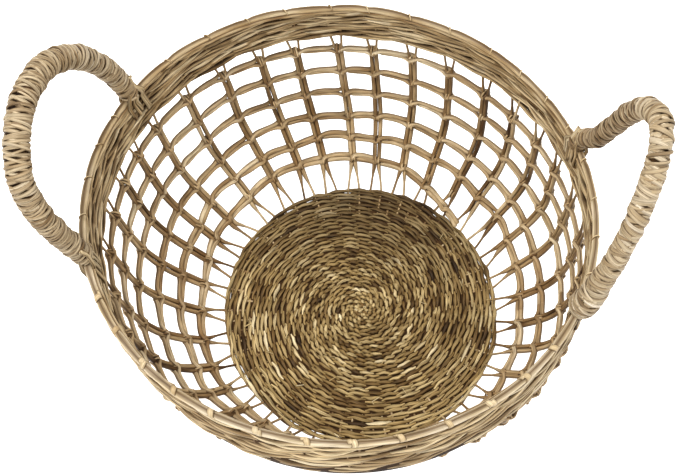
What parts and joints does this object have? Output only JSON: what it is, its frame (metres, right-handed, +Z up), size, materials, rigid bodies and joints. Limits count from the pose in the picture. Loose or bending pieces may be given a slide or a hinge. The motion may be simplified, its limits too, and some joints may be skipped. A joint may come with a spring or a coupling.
{
  "type": "storage basket",
  "caption": "Round open-weave seagrass storage basket: low bowl-shaped net wall over a woven disc base, close-woven rim band and two upright rope-wrapped loop handles.",
  "frame": {"origin": "centre of the base's underside, on the floor it stands on", "axes": "+Z up, +X towards the right handle, +Y towards the back"},
  "size_m": [0.4863, 0.4159, 0.3812],
  "materials": {
    "base_weave": "dry twisted seagrass, matte, olive and brown strands among tan ones",
    "net": "smooth twisted seagrass strand, satin to matte",
    "rim_band": "close twined seagrass, matte",
    "border_cane": "smooth pale split strand, satin",
    "handle_core": "bundle of straight strands, matte",
    "handle_wrap": "tightly wound pale strand, satin",
    "lashing": "pale strand pulled tight, satin"
  },
  "bodies": {
    "basket": {"base_centre_stakes": "base_weave", "base_weave_lower": "base_weave", "base_weave_upper": "base_weave", "left_handle_back_lashing": "lashing", "left_handle_front_lashing": "lashing", "net_row_1_inner": "net", "net_row_1_outer": "net", "net_row_2_inner": "net", "net_row_2_outer": "net", "net_row_3_inner": "net", "net_row_3_outer": "net", "net_row_4_inner": "net", "net_row_4_outer": "net", "net_row_5_inner": "net", "net_row_5_outer": "net", "net_row_6_inner": "net", "net_row_6_outer": "net", "right_handle_back_lashing": "lashing", "right_handle_front_lashing": "lashing", "rim_band_inner_rows": "rim_band", "rim_band_outer_rows": "rim_band", "rim_border": "border_cane", "stakes_back_left": "net", "stakes_back_right": "net", "stakes_front_left": "net", "stakes_front_right": "net"},
    "left_handle": {"left_handle_core": "handle_core", "left_handle_wrap": "handle_wrap"},
    "right_handle": {"right_handle_core": "handle_core", "right_handle_wrap": "handle_wrap"}
  },
  "joints": [
    {"name": "left_handle_flex", "type": "hinge", "parent": "basket", "child": "left_handle", "pos_m": [-0.22055, 0.02255, 0.2505], "axis": [-0.1297, -0.9916, 0], "range_deg": [-25, 15], "stiffness_Nm_per_rad": 1.5},
    {"name": "right_handle_flex", "type": "hinge", "parent": "basket", "child": "right_handle", "pos_m": [0.17199, -0.00323, 0.2505], "axis": [0.0186, 0.9998, 0], "range_deg": [-20, 20], "stiffness_Nm_per_rad": 1.5}
  ]
}
